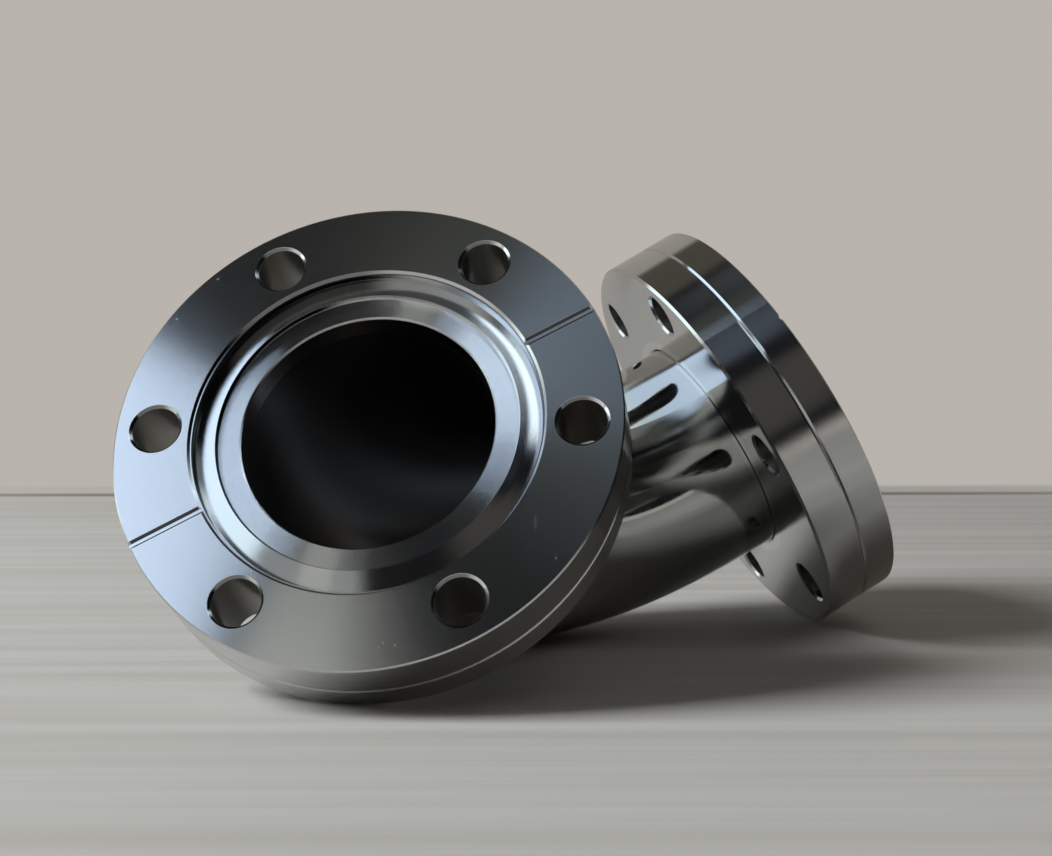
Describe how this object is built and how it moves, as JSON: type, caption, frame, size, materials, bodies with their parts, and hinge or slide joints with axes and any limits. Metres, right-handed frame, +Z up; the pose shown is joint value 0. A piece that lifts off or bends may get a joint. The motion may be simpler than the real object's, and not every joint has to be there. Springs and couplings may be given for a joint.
{
  "type": "vacuum elbow",
  "caption": "Right-angle stainless vacuum elbow: a bent tube with a fixed bolted knife-edge flange at each end.",
  "frame": {"origin": "on the table, under the middle of the box round the elbow as it lies", "axes": "+Z up; +X across the two flanges, from flange A to flange B; the legs open towards -Y and both rise by about 30 degrees"},
  "size_m": [0.1418, 0.0668, 0.0666],
  "materials": {
    "flange": "fine-turned bare stainless steel",
    "tube": "mirror-polished bare stainless steel"
  },
  "bodies": {
    "root": {"flange_a": "flange", "flange_b": "flange", "elbow_tube": "tube"}
  },
  "joints": []
}
